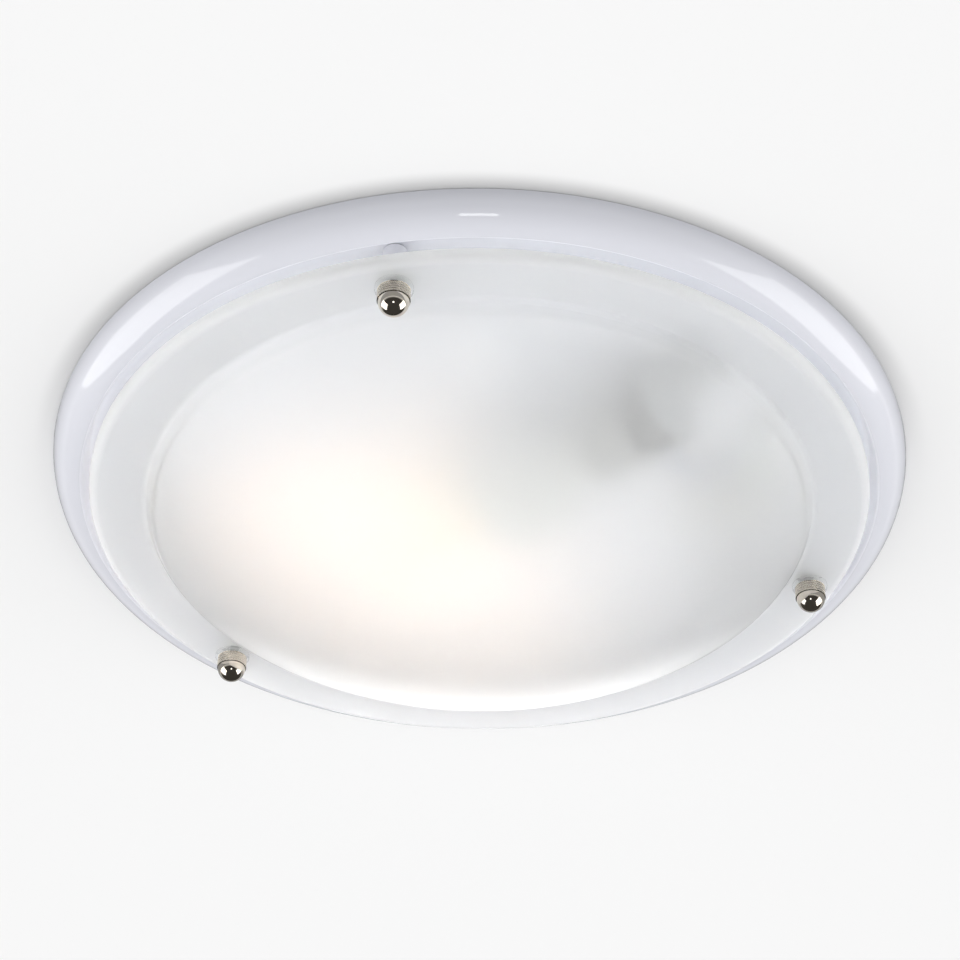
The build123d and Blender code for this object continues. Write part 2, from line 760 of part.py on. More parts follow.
def make_earth_tag():
    """Ring tag with a neck and a round barrel for the lead."""
    hole = rod(earth_screw_diameter + 2 * bore_clearance, tag_low, earth_seat)
    eye = rod(tag_diameter, tag_low, earth_seat) - hole
    neck_length = tag_barrel_start + tag_lap
    neck = Pos(neck_length / 2, 0, (tag_low + earth_seat) / 2) * Box(neck_length, lead_diameter, tag_sheet)
    body = eye + (neck - hole)
    barrel_way = Pos(tag_barrel_start, 0, tag_barrel_z) * Rot(0, 90, 0)
    body += barrel_way * rod(tag_barrel_diameter, 0, tag_barrel_length)
    body -= barrel_way * rod(lead_diameter + 2 * fit, 0, tag_barrel_length)
    return earth_place * Rot(0, 0, tag_turn) * body


def make_earth_screw():
    """Earth screw: through the tag and washer into the pan's tapped pad."""
    shank = pad_face + sheet + screw_tail - tag_low
    screw = pan_head_screw(earth_screw_diameter, earth_head_diameter, earth_head, shank)
    return earth_place * Pos(0, 0, tag_low) * screw


# ---- leads -------------------------------------------------------------------------------------
def lead(points):
    """Round wire along straight runs joined by arcs as large as the runs allow."""
    path = [Vector(*p) for p in points]
    radii = []
    for before, here, after in zip(path, path[1:], path[2:]):
        turn = math.radians((here - before).get_angle(after - here))
        shorter = min((here - before).length, (after - here).length)
        radii.append(0.45 * shorter / math.tan(turn / 2))
    print("lead arcs, mm:", [round(r, 1) for r in radii])
    wire = FilletPolyline(*path, radius=radii)
    start = Plane(origin=path[0], z_dir=path[1] - path[0])
    return sweep(start * Circle(lead_diameter / 2), path=wire)


def block_point(pole, distance):
    """Point on a pole's wire axis, distance out from the block's middle towards -Y."""
    return (block_x + pole_offsets[pole], block_y - distance, wire_z)


lead_start = block_depth / 2 - lead_in_block
holder_side = holder_diameter / 2
lead_end = cavity_diameter / 2 - lead_in_cavity


def make_holder_lead(pole, side, out):
    """Lead from a pole of the block to the upper or lower way into the holder."""
    return lead(
        [
            block_point(pole, lead_start),
            block_point(pole, block_depth / 2 + out),
            lead_point(side, holder_side + out),
            lead_point(side, lead_end),
        ]
    )


def make_earth_lead():
    """Lead from its pole of the block to the ring tag."""
    turn = math.radians(tag_turn)
    tag_x = math.cos(turn)
    tag_y = math.sin(turn)
    near = tag_barrel_start + lead_in_tag
    out = tag_barrel_start + tag_barrel_length + earth_out
    return lead(
        [
            block_point("earth", lead_start),
            block_point("earth", block_depth / 2 + earth_out),
            (earth_x + out * tag_x, earth_y + out * tag_y, tag_barrel_z),
            (earth_x + near * tag_x, earth_y + near * tag_y, tag_barrel_z),
        ]
    )


# ---- all pieces ----------------------------------------------------------------------------------
def all_pieces():
    """Every piece by name; a list is a group of like solids in one node."""
    pieces = {"pan": make_pan(), "glass_dish": make_glass()}
    per_stud = {
        "stud": make_stud(),
        "spacer": make_spacer(),
        "cushion": make_cushion(),
        "clear_washer": make_washer(),
        "finial": make_finial(),
    }
    for number, azimuth in enumerate(stud_azimuths, start=1):
        for name, solid in per_stud.items():
            pieces[f"{name}_{number}"] = stud_place(azimuth) * solid
    pieces["bracket"] = make_bracket()
    foot_low = pad_face - bracket_sheet
    foot_screw = Pos(0, 0, foot_low) * fixing_screw(bracket_sheet + sheet + screw_tail)
    pieces["bracket_screws"] = [place * foot_screw for place, size in tapped[:2]]
    holder_screw = Pos(0, 0, -bracket_sheet) * fixing_screw(bracket_sheet + base_floor)
    pieces["lampholder_screws"] = [lamp_frame * place * holder_screw for place in holder_screw_ways()]
    on_axis = {
        "lampholder_base": make_holder_base(),
        "lampholder_shell": make_holder_shell(),
        "centre_contact": make_centre_contact(),
        "side_contact": make_side_contact(),
        "lamp_contact": make_lamp_contact(),
        "lamp_insulator": make_insulator(),
        "lamp_cap": make_cap(),
        "lamp_housing": make_housing(),
        "lamp_collar": make_collar(),
        "ballast_board": make_ballast_board(),
    }
    for index in range(tube_count):
        on_axis[f"lamp_tube_{index + 1}"] = make_tube(index)
    for name, solid in on_axis.items():
        pieces[name] = lamp_frame * solid
    pieces["terminal_block"] = make_block()
    pieces["terminal_inserts"] = make_inserts()
    pieces["clamp_screws"] = make_clamp_screws()
    block_screw = Pos(0, 0, block_seat) * fixing_screw(pad_face - block_seat + sheet + screw_tail)
    pieces["block_screws"] = [place * block_screw for place, size in tapped[2:4]]
    pieces["grommet"] = make_grommet()
    pieces["earth_washer"] = make_earth_washer()
    pieces["earth_tag"] = make_earth_tag()
    pieces["earth_screw"] = make_earth_screw()
    pieces["live_lead"] = make_holder_lead("live", 1, live_out)
    pieces["neutral_lead"] = make_holder_lead("neutral", -1, neutral_out)
    pieces["earth_lead"] = make_earth_lead()
    return pieces


os.makedirs("parts", exist_ok=True)
for name, shape in all_pieces().items():
    if isinstance(shape, list):
        shape = Compound(children=shape)
    export_step(shape, f"parts/{name}.step")
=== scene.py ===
"""Looks of the round flush ceiling light: finishes, fine turned pieces, studio and camera.

Metres, in the frame of the construction: the ceiling is z = 0 and the light hangs towards -Z.
"""

import json
import math

import bpy
import numpy as np
from bpy.props import FloatProperty, FloatVectorProperty, IntProperty, PointerProperty
from mathutils import Matrix, Vector


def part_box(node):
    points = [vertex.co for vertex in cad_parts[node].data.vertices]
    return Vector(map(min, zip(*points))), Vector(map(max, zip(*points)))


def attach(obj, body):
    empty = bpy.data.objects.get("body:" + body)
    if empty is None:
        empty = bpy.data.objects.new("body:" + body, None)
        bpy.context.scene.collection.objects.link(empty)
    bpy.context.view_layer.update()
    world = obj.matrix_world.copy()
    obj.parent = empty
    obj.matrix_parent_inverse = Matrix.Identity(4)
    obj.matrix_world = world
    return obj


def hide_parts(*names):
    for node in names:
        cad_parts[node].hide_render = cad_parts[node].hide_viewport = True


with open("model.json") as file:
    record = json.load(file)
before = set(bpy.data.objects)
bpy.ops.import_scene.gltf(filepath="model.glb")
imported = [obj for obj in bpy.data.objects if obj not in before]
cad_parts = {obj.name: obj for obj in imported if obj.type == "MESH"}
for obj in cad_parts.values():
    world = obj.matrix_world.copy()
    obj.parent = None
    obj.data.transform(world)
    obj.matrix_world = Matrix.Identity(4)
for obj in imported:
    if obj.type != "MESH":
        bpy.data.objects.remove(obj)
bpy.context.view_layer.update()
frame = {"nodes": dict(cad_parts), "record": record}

bl_info = {
    "name": "Flush Ceiling Light",
    "version": (1, 0, 0),
    "blender": (4, 5, 0),
    "location": "3D View > Sidebar > Ceiling Light",
    "description": "Finishes and fine turned pieces of a round flush ceiling light",
    "category": "Add Mesh",
}

MM = 0.001
TAU = 2 * math.pi
NUMBERS = (1, 2, 3)  # of the finials with their studs and washers, and of the lamp's tubes
SHARP_ANGLE = math.radians(40)  # edges of new pieces sharper than this stay crisp

# shape of the recess band where a glow is painted on the pan, in place of lamp light
RECESS_TOP = 0.1373  # radius of the pan's recess wall at the plate
RECESS_LEAN = 0.196  # how far the wall spreads for each metre down
RECESS_SLACK = 0.4 * MM  # takes in the whole wall and keeps off the plate's hidden side

FINIAL_AROUND = 384  # faces round a finial
FINIAL_ROWS = {"bore": 6, "top": 4, "chamfer": 2, "skirt": 36, "step": 3, "end": 28}
STUD_AROUND = 40  # faces round a stud
STUD_ROWS = {"edge": 2, "foot": 3, "thread": 330}
THREAD_DEPTH = 0.6  # share of the pitch

# ellipse inside the dish, facing up, for the lamp light that the white dish throws back
RETURN_PLACE = (-0.031, 0.046, -0.013)
RETURN_SIZE = (0.160, 0.092)
RETURN_TURN = math.radians(43)

STRIPE_WAY = (0.7, 0, 0.7)  # the earth lead is yellow where it faces this way
STRIPE_START = 0.3

CEILING_REACH = 6.0
CEILING_AROUND = 128
CEILING_LIFT = 0.3 * MM  # clear of the pan's back
RIM_OVERLAP = 0.5 * MM
# the painted shade on the ceiling reaches its full dark past this share
NEAR_SIDE = 0.7  # share of the rim's radius, towards -Y, past which the shade is full

BRIGHTEST_WAY = (0, 0.15, -0.99)  # from where the room light is strongest
ROOM_FADE = -0.2  # reach towards that way at which the room light ends
PALE_BAND = (-0.25, 0.05)  # heights of a direction between which metal sees the room turn pale
ROOM_GREY = (0.8, 0.8, 0.8)
DARK_ROOM = (1.0, 0.93, 0.86)  # tint of the dark part that metal shows
BANKS = {"left_bank": 181, "right_bank": -2}  # degrees from +X
BANK_RISE = -26  # degrees from the ceiling
BANK_DISTANCE = 1.1
FRONT_WAY = (-91, -41)  # degrees from +X, and from the ceiling
FRONT_DISTANCE = 1.2
FRONT_SIZE = 0.16

LENS = 109.05  # millimetres, as is the sensor
SENSOR_WIDTH = 36.0
LENS_SHIFT = (0.0005, 0.0025)


def numbered(name):
    """Names of the three nodes of one kind."""
    return tuple(f"{name}_{number}" for number in NUMBERS)


PLATED_NODES = (
    "bracket_screws",
    "lampholder_screws",
    "block_screws",
    "clamp_screws",
    "earth_washer",
    "earth_tag",
    "earth_screw",
)

# finishes that no user would change, with the construction nodes that have them
PLAIN_FINISHES = {
    "bracket_zinc": {
        "nodes": ("bracket",),
        "colour": (0.26, 0.27, 0.29),
        "worn": (0.34, 0.35, 0.36),
        "roughness": (0.40, 0.55),
        "cloud_width": 8 * MM,
    },
    "clear_vinyl": {
        "nodes": numbered("clear_washer"),
        "colour": (0.97, 0.98, 0.98),
        "worn": (0.92, 0.93, 0.93),
        "roughness": (0.20, 0.30),
        "cloud_width": 4 * MM,
    },
    "soft_silicone": {
        "nodes": numbered("cushion"),
        "colour": (0.72, 0.73, 0.73),
        "worn": (0.62, 0.63, 0.63),
        "roughness": (0.50, 0.60),
        "cloud_width": 4 * MM,
    },
    "spacer_nylon": {
        "nodes": numbered("spacer"),
        "colour": (0.86, 0.86, 0.90),
        "worn": (0.80, 0.80, 0.84),
        "roughness": (0.35, 0.50),
        "cloud_width": 4 * MM,
    },
    "board_laminate": {
        "nodes": ("ballast_board",),
        "colour": (0.25, 0.16, 0.05),
        "worn": (0.18, 0.11, 0.03),
        "roughness": (0.50, 0.60),
        "cloud_width": 10 * MM,
    },
    "cap_glass": {
        "nodes": ("lamp_insulator",),
        "colour": (0.02, 0.02, 0.022),
        "worn": (0.04, 0.04, 0.04),
        "roughness": (0.15, 0.30),
        "cloud_width": 4 * MM,
    },
    "solder": {
        "nodes": ("lamp_contact",),
        "colour": (0.60, 0.60, 0.62),
        "worn": (0.40, 0.40, 0.42),
        "roughness": (0.30, 0.50),
        "cloud_width": 2 * MM,
        "metallic": 1.0,
    },
    "cap_metal": {
        "nodes": ("lamp_cap",),
        "colour": (0.72, 0.71, 0.68),
        "worn": (0.60, 0.58, 0.54),
        "roughness": (0.22, 0.34),
        "cloud_width": 4 * MM,
        "metallic": 1.0,
    },
    "shell_grey": {
        "nodes": ("lampholder_shell",),
        "colour": (0.36, 0.36, 0.35),
        "worn": (0.30, 0.30, 0.29),
        "roughness": (0.30, 0.42),
        "cloud_width": 10 * MM,
    },
}


# ---- sizes and colours that a user would change ------------------------------------------------
def colour_value(name, description, default):
    """Colour property with three linear channels."""
    return FloatVectorProperty(
        name=name, description=description, default=default, subtype="COLOR", size=3, min=0, max=1
    )


def length_value(name, description, default):
    """Length property in metres."""
    return FloatProperty(
        name=name, description=description, default=default, unit="LENGTH", precision=5
    )


def share_value(name, description, default):
    """Property from 0 to 1."""
    return FloatProperty(
        name=name, description=description, default=default, subtype="FACTOR", min=0, max=1
    )


def light_value(name, description, default):
    """Brightness, with no upper end."""
    return FloatProperty(name=name, description=description, default=default, min=0)


def angle_value(name, description, degrees):
    """Angle property, its default given in degrees."""
    return FloatProperty(
        name=name, description=description, default=math.radians(degrees), subtype="ANGLE"
    )


class PanFinish(bpy.types.PropertyGroup):
    paint: colour_value("Paint", "White stoving paint of the pan", (0.79, 0.80, 0.865))
    roughness: share_value("Roughness", "Of the paint under its gloss", 0.50)
    gloss: share_value("Gloss", "Clear gloss over the paint", 1.0)
    ripple: length_value("Ripple", "Width of the paint's faint ripples", 0.004)
    # painted light: emission on the pan's paint in the recess band, standing in for lamp light
    # there
    painted_recess_glow: share_value("Recess glow", "Lamp light in the recess behind the glass", 0.095)
    recess_width: length_value("Recess width", "Of the band that this light fills", 0.006)


class GlassFinish(bpy.types.PropertyGroup):
    tint: colour_value("Tint", "Faint green of the glass", (0.965, 0.975, 0.97))
    satin: share_value("Satin", "Roughness of the etched faces", 0.55)
    clearness: share_value("Clearness", "Share of the light that goes straight through", 0.78)
    milk: length_value("Milk", "How far light strays in the glass", 0.004)
    # painted light: a glowing band at the glass's edge, standing in for lamp light
    painted_edge_glow: share_value("Edge glow", "Light that the glass carries to its edge", 0.12)
    edge_width: length_value("Edge width", "Of the band that this light leaves by", 0.004)
    # painted light: a glow on the dome rising towards +Y, standing in for lamp light
    painted_far_glow: share_value("Far glow", "Light carried to the far side of the dome", 0.34)
    far_start: length_value("Far start", "Where the far glow starts", 0.040)
    dome_edge: length_value("Dome edge", "Radius at which the dome meets the step", 0.113)
    grain: length_value("Grain", "Width of the etch's grain", 0.0006)


class FinialShape(bpy.types.PropertyGroup):
    nickel: colour_value("Nickel", "Polished nickel plate", (0.74, 0.69, 0.61))
    diameter: length_value("Diameter", "Over the knurl", 0.0108)
    dome_diameter: length_value("Dome diameter", "Of the polished end", 0.0102)
    bore: length_value("Bore", "Diameter of the blind thread", 0.0041)
    end_wall: length_value("End wall", "Metal left past the bore", 0.0026)
    knurl_depth: length_value("Knurl depth", "Of the cut diamonds", 0.00020)
    knurl_count: IntProperty(name="Knurl count", description="Diamonds round the skirt", default=64)


class StudShape(bpy.types.PropertyGroup):
    steel: colour_value("Steel", "Zinc plate of the studs and screws", (0.62, 0.63, 0.64))
    diameter: length_value("Diameter", "Over the thread", 0.004)
    pitch: length_value("Pitch", "Of the thread", 0.0007)
    foot: length_value("Foot", "Height of the welded flange", 0.0009)


class LampLooks(bpy.types.PropertyGroup):
    glow: colour_value("Glow", "Colour of the lit tubes", (1.0, 0.76, 0.48))
    strength: light_value("Strength", "Of the tubes' light", 0.62)
    root_share: share_value("Share at the roots", "Of the glow, next to the collar", 0.3)
    dim_end: length_value("Dim end", "Station of the tubes' roots along the lamp", 0.070)
    bright_end: length_value("Bright end", "Station where the glow is full", 0.108)
    return_light: light_value("Return light", "Thrown back by the dish", 0.76)
    return_colour: colour_value("Return colour", "Of that light", (1.0, 0.62, 0.30))
    plastic: colour_value("Plastic", "Moulded housing of the lamp", (0.80, 0.79, 0.76))


class FittingLooks(bpy.types.PropertyGroup):
    holder: colour_value("Holder", "Moulded lampholder", (0.024, 0.024, 0.026))
    block: colour_value("Block", "Moulded terminal block", (0.78, 0.77, 0.72))
    brass: colour_value("Brass", "Contacts and inserts", (0.78, 0.57, 0.25))
    rubber: colour_value("Rubber", "Grommet", (0.03, 0.03, 0.03))
    live: colour_value("Live", "Insulation of the live lead", (0.16, 0.055, 0.02))
    neutral: colour_value("Neutral", "Insulation of the neutral lead", (0.02, 0.10, 0.42))
    earth_green: colour_value("Earth green", "First colour of the earth lead", (0.03, 0.30, 0.06))
    earth_yellow: colour_value("Earth yellow", "Its second colour", (0.85, 0.72, 0.05))


class StudioSetting(bpy.types.PropertyGroup):
    background: share_value("Background", "Brightness past the ceiling", 0.93)
    ceiling: share_value("Ceiling", "Paint of the ceiling, as the camera sees it", 0.91)
    ceiling_bounce: share_value("Ceiling bounce", "Paint of the ceiling, for other rays", 0.35)
    # painted shade: darker ceiling paint next to the rim's near side, and its width
    shade: share_value("Shade", "Dark of the ceiling close to the rim's near side", 0.33)
    painted_shade_width: length_value("Shade width", "Of that shade", 0.0085)
    room_light: light_value("Room light", "From its brightest way", 1.11)
    room_sides: light_value("Room sides", "Light added from left and right", 3.95)
    room_through: light_value("Room through glass", "Room light on the inside", 1.96)
    room_back: light_value("Room back", "Light on the pan's back", 1.0)
    room_dark: light_value("Dark of the room", "As metal shows it", 0.05)
    bank_light: light_value("Bank light", "Brightness of the side banks", 2.6)
    bank_size: length_value("Bank size", "Side of each square bank", 0.86)
    front_light: light_value("Front light", "Brightness of the small lamp", 6.0)
    camera_distance: length_value("Camera distance", "From the ceiling's centre", 1.030)
    camera_angle: angle_value("Camera angle", "Below the ceiling", 37.9)
    camera_roll: angle_value("Camera roll", "Turn about its axis", 0.52)


GROUPS = {
    "light_pan": PanFinish,
    "light_glass": GlassFinish,
    "light_finial": FinialShape,
    "light_stud": StudShape,
    "light_lamp": LampLooks,
    "light_fittings": FittingLooks,
    "light_studio": StudioSetting,
}


# ---- node helpers --------------------------------------------------------------------------------
def node(tree, kind, **values):
    """Adds a node and sets its plain fields."""
    made = tree.nodes.new(kind)
    for field, value in values.items():
        setattr(made, field, value)
    return made


def feed(tree, target, entry, value):
    """Joins an output socket to a node's input, or sets that input to a plain value."""
    if isinstance(value, bpy.types.NodeSocket):
        tree.links.new(value, target.inputs[entry])
    else:
        target.inputs[entry].default_value = value


def worked(tree, operation, *entries):
    """Result of a sum on sockets and numbers."""
    made = node(tree, "ShaderNodeMath", operation=operation)
    for index, value in enumerate(entries):
        feed(tree, made, index, value)
    return made.outputs["Value"]


def ramp(tree, value, start, end, low=0.0, high=1.0, shape="SMOOTHSTEP"):
    """Runs from low to high while the value runs from start to end, eased unless LINEAR."""
    made = node(tree, "ShaderNodeMapRange", interpolation_type=shape)
    feed(tree, made, "Value", value)
    feed(tree, made, "From Min", start)
    feed(tree, made, "From Max", end)
    feed(tree, made, "To Min", low)
    feed(tree, made, "To Max", high)
    return made.outputs["Result"]


def coordinate(tree, kind="Object"):
    """A texture coordinate of the surface."""
    return node(tree, "ShaderNodeTexCoord").outputs[kind]


def parted(tree, vector):
    """The three channels of a vector, as sockets named X, Y and Z."""
    made = node(tree, "ShaderNodeSeparateXYZ")
    feed(tree, made, "Vector", vector)
    return made.outputs


def along(tree, vector, way):
    """How far a vector reaches in a direction."""
    made = node(tree, "ShaderNodeVectorMath", operation="DOT_PRODUCT")
    feed(tree, made, 0, vector)
    feed(tree, made, 1, way)
    return made.outputs["Value"]


def from_axis(tree, place):
    """Distance of a point from the Z axis."""
    flat = node(tree, "ShaderNodeVectorMath", operation="MULTIPLY")
    feed(tree, flat, 0, place)
    feed(tree, flat, 1, (1, 1, 0))
    length = node(tree, "ShaderNodeVectorMath", operation="LENGTH")
    feed(tree, length, 0, flat.outputs["Vector"])
    return length.outputs["Value"]


def noise(tree, scale, detail):
    """Soft noise on the piece's own coordinates."""
    made = node(tree, "ShaderNodeTexNoise")
    feed(tree, made, "Vector", coordinate(tree))
    feed(tree, made, "Scale", scale)
    feed(tree, made, "Detail", detail)
    return made.outputs["Fac"]


def mixed_colour(tree, share, first, second):
    """Colour between two colours."""
    made = node(tree, "ShaderNodeMix", data_type="RGBA")
    feed(tree, made, 0, share)
    feed(tree, made, 6, first)
    feed(tree, made, 7, second)
    return made.outputs[2]


def mixed_shader(tree, share, first, second):
    """Shader between two shaders."""
    made = node(tree, "ShaderNodeMixShader")
    feed(tree, made, 0, share)
    feed(tree, made, 1, first)
    feed(tree, made, 2, second)
    return made.outputs["Shader"]


def group_tree(name, inputs, outputs):
    """Empty shader group with named float or colour sockets; returns it and its two ends."""
    kinds = {"float": "NodeSocketFloat", "colour": "NodeSocketColor"}
    tree = bpy.data.node_groups.new(name, "ShaderNodeTree")
    for label, kind in inputs.items():
        tree.interface.new_socket(name=label, in_out="INPUT", socket_type=kinds[kind])
    for label, kind in outputs.items():
        tree.interface.new_socket(name=label, in_out="OUTPUT", socket_type=kinds[kind])
    return tree, tree.nodes.new("NodeGroupInput").outputs, tree.nodes.new("NodeGroupOutput")


def surface_ripple():
    """Height of a faintly uneven skin: two noises, one three times finer than the other."""
    name = "surface ripple"
    if name in bpy.data.node_groups:
        return bpy.data.node_groups[name]
    finer, fine_share = 3, 0.35
    tree, start, end = group_tree(name, {"Width": "float"}, {"Height": "float"})
    scale = worked(tree, "DIVIDE", 1, start["Width"])
    broad = noise(tree, scale, detail=1)
    fine = noise(tree, worked(tree, "MULTIPLY", scale, finer), detail=1)
    feed(tree, end, "Height", worked(tree, "MULTIPLY_ADD", fine, fine_share, broad))
    return tree


def cloudy_wear():
    """Colour and roughness that drift between two values, as handled or aged surfaces do."""
    name = "cloudy wear"
    if name in bpy.data.node_groups:
        return bpy.data.node_groups[name]
    fresh_end, worn_end = 0.35, 0.70
    inputs = {
        "Colour": "colour",
        "Worn colour": "colour",
        "Roughness": "float",
        "Worn roughness": "float",
        "Width": "float",
    }
    tree, start, end = group_tree(name, inputs, {"Colour": "colour", "Roughness": "float"})
    clouds = noise(tree, worked(tree, "DIVIDE", 1, start["Width"]), detail=4)
    worn = ramp(tree, clouds, fresh_end, worn_end, shape="LINEAR")
    feed(tree, end, "Colour", mixed_colour(tree, worn, start["Colour"], start["Worn colour"]))
    rough = ramp(tree, worn, 0, 1, start["Roughness"], start["Worn roughness"], shape="LINEAR")
    feed(tree, end, "Roughness", rough)
    return tree


def use_group(tree, group, **values):
    """Places a shared group in a material with its own values; returns its outputs."""
    made = tree.nodes.new("ShaderNodeGroup")
    made.node_tree = group
    for label, value in values.items():
        entry = made.inputs[label.replace("_", " ")]
        entry.default_value = (*value, 1) if hasattr(value, "__len__") else value
    return made.outputs


def wear(tree, colour, worn, roughness, cloud_width):
    """The wear group with its two colours and its two values of roughness."""
    return use_group(
        tree,
        cloudy_wear(),
        Colour=colour,
        Worn_colour=worn,
        Roughness=roughness[0],
        Worn_roughness=roughness[1],
        Width=cloud_width,
    )


def principled(material):
    """A material's node tree and its shader."""
    tree = material.node_tree
    return tree, tree.nodes["Principled BSDF"]


def finish(
    name, colour, worn, roughness, cloud_width, metallic=0.0, ripple_width=0.0, ripple_height=0.0
):
    """Material with drifting colour and roughness and, where asked, a rippled skin."""
    material = bpy.data.materials.new(name)
    material.use_nodes = True
    tree, shader = principled(material)
    shader.inputs["Metallic"].default_value = metallic
    drift = wear(tree, colour, worn, roughness, cloud_width)
    feed(tree, shader, "Base Color", drift["Colour"])
    feed(tree, shader, "Roughness", drift["Roughness"])
    if ripple_height:
        skin = use_group(tree, surface_ripple(), Width=ripple_width)
        bump = node(tree, "ShaderNodeBump")
        bump.inputs["Strength"].default_value = 1
        bump.inputs["Distance"].default_value = ripple_height
        feed(tree, bump, "Height", skin["Height"])
        feed(tree, shader, "Normal", bump.outputs["Normal"])
    return material


def dress(material, *names):
    """Gives construction nodes their finish."""
    for name in names:
        mesh = frame["nodes"][name].data
        if not mesh.materials:
            mesh.materials.append(material)
        for index in range(len(mesh.materials)):
            mesh.materials[index] = material


def dress_plain(name):
    """Makes a finish from the list, gives it to its construction nodes and returns it."""
    values = dict(PLAIN_FINISHES[name])
    nodes = values.pop("nodes")
    material = finish(name, **values)
    dress(material, *nodes)
    return material


def dimmed(colour, share):
    """The colour made darker by a share."""
    return tuple(channel * (1 - share) for channel in colour)


# ---- mesh helpers --------------------------------------------------------------------------------
def turned_mesh(name, profile, around, bulge, middle):
    """Closed turned surface: ring radii and heights from profile, times a circle, about an upright
    axis through middle.

    profile is (radius, height) rows from one pole to the other.  bulge(angle, height) adds to the
    radius.  The first and last rows are poles, each a single vertex with a fan of triangles.
    """
    rows = np.asarray(profile, float)
    ring = rows[1:-1]
    angle = np.arange(around) * TAU / around
    radius = np.repeat(ring[:, :1], around, axis=1)
    height = np.repeat(ring[:, 1:], around, axis=1)
    radius = radius + bulge(angle[None, :], height)
    grid = np.stack([radius * np.cos(angle), radius * np.sin(angle), height], axis=2)
    points = np.vstack([grid.reshape(-1, 3), (0, 0, rows[0, 1]), (0, 0, rows[-1, 1])])
    count = len(ring)
    first = np.arange(around)
    second = (first + 1) % around
    low = np.stack([np.full(around, count * around), first, second], axis=1)
    last = (count - 1) * around
    high = np.stack([np.full(around, count * around + 1), last + second, last + first], axis=1)
    faces = ring_faces(count, around) + low.tolist() + high.tolist()
    mesh = bpy.data.meshes.new(name)
    mesh.from_pydata(points.tolist(), [], faces)
    mesh.validate()
    mesh.update()
    mesh.transform(Matrix.Translation((middle.x, middle.y, 0)))
    return mesh


def ring_faces(count, around):
    """Four-sided faces between rings of points, each ring joined to the next and closed."""
    i, j = np.meshgrid(np.arange(count - 1), np.arange(around), indexing="ij")
    following = (j + 1) % around
    corners = [i * around + j, (i + 1) * around + j]
    corners += [(i + 1) * around + following, i * around + following]
    return np.stack(corners, axis=2).reshape(-1, 4).tolist()


def add_piece(name, mesh, material, body, node_name):
    """Shows a mesh as a piece that rides on a body and stands for a construction node."""
    mesh.materials.append(material)
    piece = bpy.data.objects.new(name, mesh)
    bpy.context.scene.collection.objects.link(piece)
    mesh.shade_smooth()
    mesh.set_sharp_from_angle(angle=SHARP_ANGLE)
    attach(piece, body)
    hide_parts(node_name)


def span(start, end, count):
    """Evenly spaced rows between two (radius, height) points, the last left out."""
    share = np.arange(count)[:, None] / count
    return np.asarray(start) * (1 - share) + np.asarray(end) * share


# ---- pan, bracket and glass ----------------------------------------------------------------------
def paint_glow_in_recess(material, values):
    """Glosses the paint, and paints a glow into the narrow recess behind the glass in place of
    gloss:
    emission that stands in for the lamp light that would reach the recess.

    The recess's mask is 1 where the distance from the axis, less the wall's lean times the depth,
    lies between the band's start and the wall, and the point is on the room side of the plate.
    """
    tree, shader = principled(material)
    place = coordinate(tree)
    height = parted(tree, place)["Z"]
    upright = worked(tree, "MULTIPLY_ADD", height, RECESS_LEAN, from_axis(tree, place))
    inside = worked(tree, "LESS_THAN", upright, RECESS_TOP + RECESS_SLACK)
    outer = ramp(tree, upright, RECESS_TOP - values.recess_width, RECESS_TOP)
    room_side = worked(tree, "LESS_THAN", height, -RECESS_SLACK)
    mask = worked(tree, "MULTIPLY", worked(tree, "MULTIPLY", inside, outer), room_side)
    # painted light: the recess band glows with emission and loses its gloss
    feed(tree, shader, "Emission Color", mask)
    shader.inputs["Emission Strength"].default_value = values.painted_recess_glow
    feed(tree, shader, "Coat Weight", ramp(tree, mask, 0, 1, values.gloss, 0, shape="LINEAR"))
    shader.inputs["Coat Roughness"].default_value = 0.04


class LIGHT_OT_pan(bpy.types.Operator):
    """Gives the pan its white paint and the bracket and its screws their zinc plate"""

    bl_idname = "ceiling_light.pan"
    bl_label = "Pan and Bracket"

    def execute(self, context):
        values = context.scene.light_pan
        paint = finish(
            "pan_paint",
            values.paint,
            worn=dimmed(values.paint, 0.02),
            roughness=(values.roughness, values.roughness + 0.05),
            cloud_width=50 * MM,
            ripple_width=values.ripple,
            ripple_height=0.02 * MM,
        )
        paint_glow_in_recess(paint, values)
        dress(paint, "pan")
        steel = context.scene.light_stud.steel
        plate = finish(
            "zinc_plate",
            steel,
            worn=dimmed(steel, 0.2),
            roughness=(0.28, 0.45),
            cloud_width=6 * MM,
            metallic=1.0,
        )
        dress(plate, *PLATED_NODES)
        dress_plain("bracket_zinc")
        return {"FINISHED"}


def satin_glass(values):
    """Etched glass: rough both sides, faintly green, with a fine grain in its surface.

    Its emission is painted light, standing in for lamp light that the glass carries: the sum of a
    glowing band at its edge and a glow rising towards the far side, +Y, which ends where the dome
    meets the step.
    """
    material = finish(
        "satin_glass",
        values.tint,
        worn=dimmed(values.tint, 0.015),
        roughness=(values.satin, values.satin + 0.03),
        cloud_width=30 * MM,
        ripple_width=values.grain,
        ripple_height=0.002 * MM,
    )
    tree, shader = principled(material)
    shader.inputs["Transmission Weight"].default_value = values.clearness
    shader.inputs["IOR"].default_value = 1.45
    shader.inputs["Subsurface Weight"].default_value = 1
    shader.inputs["Subsurface Radius"].default_value = (1, 1, 1)
    shader.inputs["Subsurface Scale"].default_value = values.milk
    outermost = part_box("glass_dish")[1].x
    place = coordinate(tree)
    radius = from_axis(tree, place)
    # painted light: emission at the glass's edge and towards the far side of the dome
    edge = ramp(tree, radius, outermost - values.edge_width, outermost, 0, values.painted_edge_glow)
    depth = parted(tree, place)["Y"]
    far = ramp(tree, depth, values.far_start, values.dome_edge, 0, values.painted_far_glow)
    dome = ramp(tree, radius, values.dome_edge, values.dome_edge - values.edge_width)
    feed(tree, shader, "Emission Color", worked(tree, "MULTIPLY_ADD", far, dome, edge))
    shader.inputs["Emission Strength"].default_value = 1
    return material


